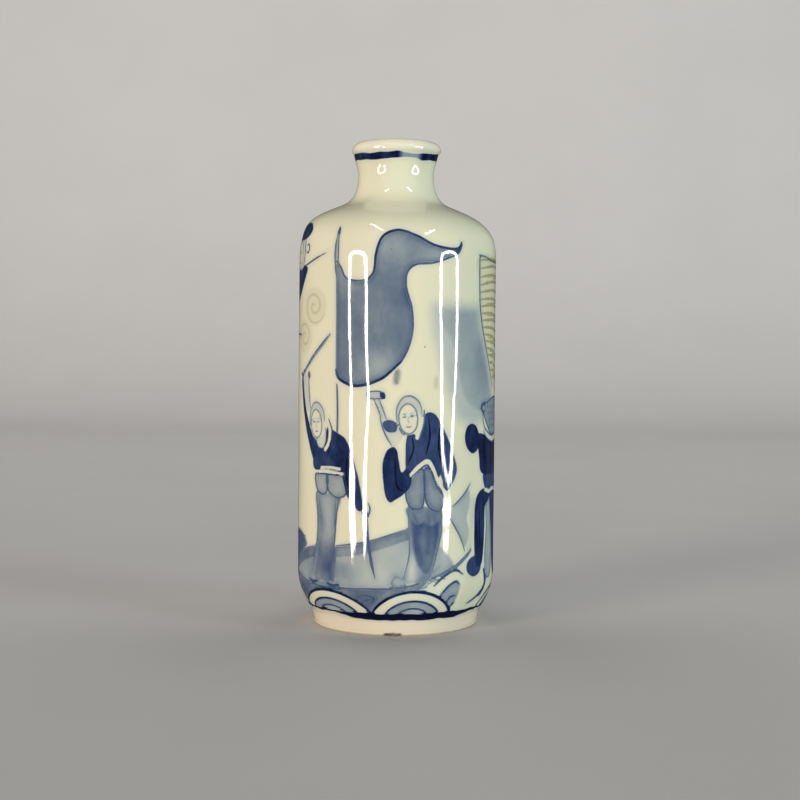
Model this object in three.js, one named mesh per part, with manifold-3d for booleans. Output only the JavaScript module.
// A small cylindrical porcelain bottle for snuff, without its stopper, after a Chinese type.
// It was thrown, luted and fired as one piece, so it is one solid: a rolled lip, a short waisted
// neck, a round shoulder, a straight body, a rounded heel and a trimmed foot ring, hollow inside,
// with one small chip in the foot.
// Millimetres, +Z up. The origin is on the surface that the foot stands on, in the body's axis,
// and the painted front looks along -Y.
import * as THREE from "three";
import { mergeVertices } from "three/addons/utils/BufferGeometryUtils.js";
import Module from "manifold-3d";

// Driving dimensions.
const HEIGHT = 77.5;
const BODY_RADIUS = 15.9;
const WALL = 2.2;

const FOOT_RADIUS = 13.0; // outer edge of the flat that it stands on
const FOOT_BEVEL = 0.32; // trimmed corner between that flat and the foot's side
const FOOT_RING_WIDTH = 1.6;
const FOOT_TOP_RADIUS = 13.85; // where the foot's side meets the heel
const FOOT_HEIGHT = 2.45;
const RECESS_DEPTH = 1.3; // the glazed base inside the foot ring
const RECESS_FILLET = 0.7;

const HEEL_TOP = 8.8; // the rounded heel ends here and the straight body begins
const BODY_TAPER = 0.05; // how much narrower the body is at its top
const SHOULDER_START = 58.6;
const SHOULDER_END = new THREE.Vector2(9.0, 67.08); // where the shoulder turns up into the neck

const NECK_WAIST = new THREE.Vector2(6.12, 71.9);
const NECK_TOP = new THREE.Vector2(6.45, 75.07); // the crease under the lip
const LIP_CENTRE = new THREE.Vector2(5.72, 76.2); // middle of the rolled lip's section
const LIP_HALF_WIDTH = 1.4;
const LIP_HALF_HEIGHT = HEIGHT - LIP_CENTRE.y;
const LIP_FLAT = 0.8; // level ring on top, for the stopper's collar

const BORE_RADIUS = 3.9;
const MOUTH_ROUNDING = 1.05;
const BORE_LENGTH = 11.0; // from the lip's top to where the chamber opens out
const CHAMBER_TOP = 58.0; // the chamber's straight wall ends here
const FLOOR_LEVEL = 4.6;
const INNER_HEEL_HEIGHT = 5.5;
const INNER_FLOOR_RADIUS = 9.0;

// The two handles that each bend of the profile is pulled towards: [radius, height].
const RECESS_PULLS = [[11.2, RECESS_DEPTH], [11.25, 0.5]];
const HEEL_PULLS = [[15.0, 4.3], [BODY_RADIUS, 6.4]];
const SHOULDER_PULLS = [[BODY_RADIUS - BODY_TAPER, 64.6], [13.0, 65.45]];
const NECK_ROOT_PULLS = [[6.85, 67.95], [6.18, 69.3]];
const NECK_PULLS = [[NECK_WAIST.x, 73.2], [6.35, 74.2]];
const MOUTH_PULLS = [[4.2, HEIGHT], [BORE_RADIUS, HEIGHT - 0.4]];
const CHAMBER_PULLS = [[BORE_RADIUS, 65.2], [BODY_RADIUS - WALL, 64.9]];
const INNER_HEEL_PULLS = [[BODY_RADIUS - WALL, 6.6], [12.0, FLOOR_LEVEL]];

// The thrown wall strays a little from the axis: [height, sideways shift along X].
const SWAY = [
  [61.5, 0],
  [66.4, -0.62],
  [68.8, -0.37],
  [74.0, -0.37],
  [76.6, -0.26],
];

// The chip: a shallow scoop out of the foot's front lower edge.
const CHIP_HALF_SIZE = new THREE.Vector3(1.35, 0.95, 0.36);
const CHIP_CENTRE = new THREE.Vector3(-0.4, -(FOOT_RADIUS + 0.12), 0);

const TURN_STEPS = 64; // sides of every round section
const SCOOP_STEPS = [16, 12]; // sides of the chip's scoop, around and from pole to pole
const MERGE_DISTANCE = 1e-4;
const PORCELAIN = new THREE.Color(0.83, 0.84, 0.74);

const point = (radius, height) => new THREE.Vector2(radius, height);
const line = (from, to) => new THREE.LineCurve(from, to);

// A bend between two points, pulled towards its two handles.
function bend(from, [pull, pullBack], to) {
  return new THREE.CubicBezierCurve(from, point(...pull), point(...pullBack), to);
}

// A stretch of an ellipse in the profile's plane, between two angles from the outward direction.
function arc(centre, halfWidth, halfHeight, fromAngle, toAngle) {
  const clockwise = toAngle < fromAngle;
  return new THREE.EllipseCurve(
    centre.x, centre.y, halfWidth, halfHeight, fromAngle, toAngle, clockwise,
  );
}

// The outside, from the middle of the base, over the foot, up to the lip's level ring. Each row
// is a curve and the number of straight steps that it is cut into.
function outerCurves() {
  const recessEdge = point(FOOT_RADIUS - FOOT_RING_WIDTH - RECESS_FILLET, RECESS_DEPTH);
  const ringInner = point(FOOT_RADIUS - FOOT_RING_WIDTH, 0);
  const ringOuter = point(FOOT_RADIUS, 0);
  const beveled = point(FOOT_RADIUS + FOOT_BEVEL, FOOT_BEVEL);
  const footTop = point(FOOT_TOP_RADIUS, FOOT_HEIGHT);
  const heelEnd = point(BODY_RADIUS, HEEL_TOP);
  const bodyTop = point(BODY_RADIUS - BODY_TAPER, SHOULDER_START);
  const creaseAngle = Math.asin((NECK_TOP.y - LIP_CENTRE.y) / LIP_HALF_HEIGHT);
  return [
    [line(point(0, RECESS_DEPTH), recessEdge), 3],
    [bend(recessEdge, RECESS_PULLS, ringInner), 4],
    [line(ringInner, ringOuter), 1],
    [line(ringOuter, beveled), 1],
    [line(beveled, footTop), 1],
    [bend(footTop, HEEL_PULLS, heelEnd), 6],
    [line(heelEnd, bodyTop), 1],
    [bend(bodyTop, SHOULDER_PULLS, SHOULDER_END), 10],
    [bend(SHOULDER_END, NECK_ROOT_PULLS, NECK_WAIST), 7],
    [bend(NECK_WAIST, NECK_PULLS, NECK_TOP), 3],
    [arc(LIP_CENTRE, LIP_HALF_WIDTH, LIP_HALF_HEIGHT, creaseAngle, Math.PI / 2), 8],
  ];
}

// The inside, from the lip's level ring, down the bore, to the middle of the floor.
function innerCurves() {
  const ringEdge = point(LIP_CENTRE.x - LIP_FLAT, HEIGHT);
  const boreTop = point(BORE_RADIUS, HEIGHT - MOUTH_ROUNDING);
  const boreEnd = point(BORE_RADIUS, HEIGHT - BORE_LENGTH);
  const chamberTop = point(BODY_RADIUS - WALL, CHAMBER_TOP);
  const chamberFoot = point(BODY_RADIUS - WALL, FLOOR_LEVEL + INNER_HEEL_HEIGHT);
  const floorEdge = point(INNER_FLOOR_RADIUS, FLOOR_LEVEL);
  return [
    [line(point(LIP_CENTRE.x, HEIGHT), ringEdge), 1],
    [bend(ringEdge, MOUTH_PULLS, boreTop), 4],
    [line(boreTop, boreEnd), 1],
    [bend(boreEnd, CHAMBER_PULLS, chamberTop), 9],
    [line(chamberTop, chamberFoot), 1],
    [bend(chamberFoot, INNER_HEEL_PULLS, floorEdge), 6],
    [line(floorEdge, point(0, FLOOR_LEVEL)), 2],
  ];
}

// The whole profile as points, each curve ending where the next begins.
function profile() {
  const points = [];
  for (const [curve, steps] of [...outerCurves(), ...innerCurves()]) {
    const found = curve.getPoints(steps);
    points.push(...(points.length ? found.slice(1) : found));
  }
  return points;
}

// How far the wall's centre strays along X at a height, eased between the rows of SWAY.
function swayAt(height) {
  if (height <= SWAY[0][0]) return SWAY[0][1];
  for (let i = 1; i < SWAY.length; i++) {
    const [low, from] = SWAY[i - 1];
    const [high, to] = SWAY[i];
    if (height < high) return from + (to - from) * THREE.MathUtils.smoothstep(height, low, high);
  }
  return SWAY[SWAY.length - 1][1];
}

// A geometry's triangles as a manifold solid, with its shared vertices merged.
function solidOf(wasm, geometry) {
  const bare = new THREE.BufferGeometry();
  bare.setAttribute("position", geometry.getAttribute("position"));
  bare.setIndex(geometry.getIndex());
  const merged = mergeVertices(bare, MERGE_DISTANCE);
  return new wasm.Manifold(new wasm.Mesh({
    numProp: 3,
    vertProperties: merged.getAttribute("position").array,
    triVerts: new Uint32Array(merged.getIndex().array),
  }));
}

// A manifold solid's triangles as a geometry.
function geometryOf(solid) {
  const mesh = solid.getMesh();
  const geometry = new THREE.BufferGeometry();
  geometry.setAttribute("position", new THREE.BufferAttribute(mesh.vertProperties, 3));
  geometry.setIndex(new THREE.BufferAttribute(mesh.triVerts, 1));
  geometry.computeVertexNormals();
  return geometry;
}

function thrownWall() {
  const geometry = new THREE.LatheGeometry(profile(), TURN_STEPS);
  geometry.rotateX(Math.PI / 2);
  const position = geometry.getAttribute("position");
  for (let i = 0; i < position.count; i++) {
    position.setX(i, position.getX(i) + swayAt(position.getZ(i)));
  }
  return geometry;
}

function chipScoop() {
  const geometry = new THREE.SphereGeometry(1, ...SCOOP_STEPS);
  geometry.scale(CHIP_HALF_SIZE.x, CHIP_HALF_SIZE.y, CHIP_HALF_SIZE.z);
  geometry.translate(CHIP_CENTRE.x, CHIP_CENTRE.y, CHIP_CENTRE.z);
  return geometry;
}

const wasm = await Module();
wasm.setup();

const bottle = new THREE.Mesh(
  geometryOf(solidOf(wasm, thrownWall()).subtract(solidOf(wasm, chipScoop()))),
  new THREE.MeshStandardMaterial({ color: PORCELAIN, roughness: 0.12, metalness: 0 }),
);
bottle.name = "bottle";

const snuffBottle = new THREE.Group();
snuffBottle.add(bottle);
export default snuffBottle;
